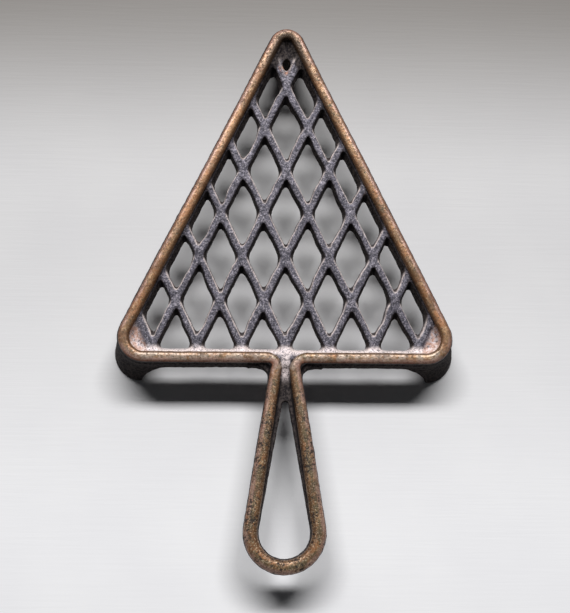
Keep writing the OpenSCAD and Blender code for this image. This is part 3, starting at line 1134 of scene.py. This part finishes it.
def casting_material(name):
    """Dark sand-cast iron whose bead has worn and coloured to a bronze tone."""
    tree = Tree(name)
    speckle = tree.noise(0.95, 3, 0.7)
    specks = dark_specks(tree)
    fraying = tree.ramp(tree.noise(1.0, 3, 0.6, 10), 0, 1, -0.15, 0.15)
    on_bead = tree.ramp(tree.math("ADD", tree.fact("bead"), fraying), 0.4, 0.6)
    colour = tree.mix(on_bead, iron_colour(tree, speckle), bronze_colour(tree, specks))
    # Painted shade: crevices, found by how enclosed a point is, darken towards black, less where
    # the sheen is painted
    crevice_shade = tree.ramp(tree.fact("crevice"), 0.15, 0.55, 0, 0.9)
    crevice_shade = tree.times(crevice_shade, tree.ramp(tree.fact("pale"), 0, 1, 1, 0.35))

    # Painted shade, in crevices and on the walls, has neither shine nor metal.
    off_bead = tree.ramp(on_bead, 0, 1, 1, 0)
    painted_shade = tree.math("MAXIMUM", crevice_shade, tree.times(tree.fact("wall"), off_bead))
    metal = tree.times(tree.blend(on_bead, 0.35, 0.4), tree.ramp(painted_shade, 0, 1, 1, 0))
    iron_rough = tree.ramp(speckle, 0.3, 0.7, 0.66, 0.5)
    bead_rough = tree.ramp(specks, 0, 1, 0.38, 0.65)
    rough = tree.blend(on_bead, iron_rough, bead_rough)
    return tree.finish(
        Base_Color=tree.mix(crevice_shade, colour, NEAR_BLACK),
        Metallic=metal,
        Roughness=tree.math("ADD", rough, tree.times(painted_shade, 0.25), clamp=True),
        Specular_IOR_Level=tree.ramp(painted_shade, 0, 1, 0.5, 0.12),
        Normal=casting_normal(tree, on_bead, specks),
    )


def floor_material():
    """Pale painted board with brush strokes along X, and painted shade that darkens it beyond the
    nose.
    """
    tree = Tree("floor_paint")
    paint = tree.mix(tree.ramp(tree.noise(45, 3, 0.5), 0.3, 0.7), FLOOR_MID, FLOOR_LIGHT)
    along = tree.along(1)
    # Painted shade on the floor, deepening towards the nose and fading far beyond it
    near = tree.ramp(along, *SHADE_END, 1, 0)
    first = tree.times(tree.ramp(along, *FIRST_SHADE, 0, 0.34), near)
    paint = tree.mix(first, paint, FLOOR_SHADE)
    second = tree.times(tree.ramp(along, *SECOND_SHADE, 0, 0.9), near)
    paint = tree.mix(second, paint, FLOOR_SHADE)
    strokes = tree.bump(tree.noise(STROKES, 4, 0.6, 2), STROKE_BUMP)
    return tree.finish(Base_Color=paint, Roughness=0.55, Normal=strokes)


# ---- Floor, light and camera ----

# Metres and watts
FLOOR_HALF = 3.0
KEY_TARGET = Vector((0, -0.02, 0))
KEY_DISTANCE = 2.4
KEY_ELEVATION = math.radians(52.4)
KEY_WIDTH = 2.2
KEY_HEIGHT = 0.36
KEY_POWER = 90
KEY_COLOUR = (1.0, 0.997, 1.0)

# Strength of the light from all around, and of the pale wall that the camera sees
FILL = 0.035
BACKDROP = 0.62
SURROUNDINGS_COLOUR = (0.93, 0.95, 1.0, 1)

# The camera's place is in millimetres from the plan's origin, its lens and sensor are
# in millimetres, and its shifts are shares of the sensor's width.
CAMERA_PLACE = (-12.94, -67.56, 460.23)
CAMERA_PITCH = math.radians(-11.64)
CAMERA_ROLL = math.radians(1.62)
CAMERA_YAW = math.radians(-0.60)
LENS = 64.9
SENSOR_W = 36
SHIFT_X = -0.0004
SHIFT_Y = 0.0018


def add_floor(material):
    """A square floor at height 0."""
    corners = [(-1, -1), (1, -1), (1, 1), (-1, 1)]
    mesh = bpy.data.meshes.new("floor")
    mesh.from_pydata([(FLOOR_HALF * a, FLOOR_HALF * b, 0) for a, b in corners], [], [(0, 1, 2, 3)])
    mesh.materials.append(material)
    floor = bpy.data.objects.new("floor", mesh)
    bpy.context.scene.collection.objects.link(floor)


def add_key_light():
    """A wide, low strip of light beyond the nose, like a window."""
    away = Vector((0, math.cos(KEY_ELEVATION), math.sin(KEY_ELEVATION)))
    light = bpy.data.lights.new("key", "AREA")
    light.shape = "RECTANGLE"
    light.size = KEY_WIDTH
    light.size_y = KEY_HEIGHT
    light.energy = KEY_POWER
    light.color = KEY_COLOUR
    lamp = bpy.data.objects.new("key", light)
    lamp.location = KEY_TARGET + away * KEY_DISTANCE
    lamp.rotation_euler = (-away).to_track_quat("-Z", "Y").to_euler()
    bpy.context.scene.collection.objects.link(lamp)


def add_surroundings():
    """A very weak light from all around, which the camera sees as a pale wall."""
    world = bpy.data.worlds.new("studio")
    world.use_nodes = True
    nodes = world.node_tree.nodes
    links = world.node_tree.links
    background = nodes["Background"]
    background.inputs["Color"].default_value = SURROUNDINGS_COLOUR
    seen = nodes.new("ShaderNodeLightPath")
    strength = nodes.new("ShaderNodeMath")
    strength.operation = "MULTIPLY_ADD"
    strength.inputs[1].default_value = BACKDROP - FILL
    strength.inputs[2].default_value = FILL
    links.new(seen.outputs["Is Camera Ray"], strength.inputs[0])
    links.new(strength.outputs[0], background.inputs["Strength"])
    bpy.context.scene.world = world


def add_camera():
    """Camera nearly overhead, looking a little forwards from behind the handle."""
    data = bpy.data.cameras.new("camera")
    data.sensor_width = SENSOR_W
    data.lens = LENS
    data.shift_x = SHIFT_X
    data.shift_y = SHIFT_Y
    camera = bpy.data.objects.new("camera", data)
    angles = Euler((CAMERA_PITCH, CAMERA_ROLL, CAMERA_YAW), "XYZ")
    turn = angles.to_matrix().transposed().to_4x4()
    place = (Vector(PLAN_ORIGIN) + Vector(CAMERA_PLACE)) * MM
    camera.matrix_world = Matrix.Translation(place) @ turn
    bpy.context.scene.collection.objects.link(camera)
    bpy.context.scene.camera = camera


# ---- Build ----

SLOTS = {part["node"]: part["material_slot"] for part in frame["record"]["subparts"]}

casting = casting_material("worn_casting")
for node_name, slot_name in SLOTS.items():
    make_piece(node_name, casting)
add_floor(floor_material())
add_key_light()
add_surroundings()
add_camera()
bpy.context.scene.view_settings.view_transform = "Standard"
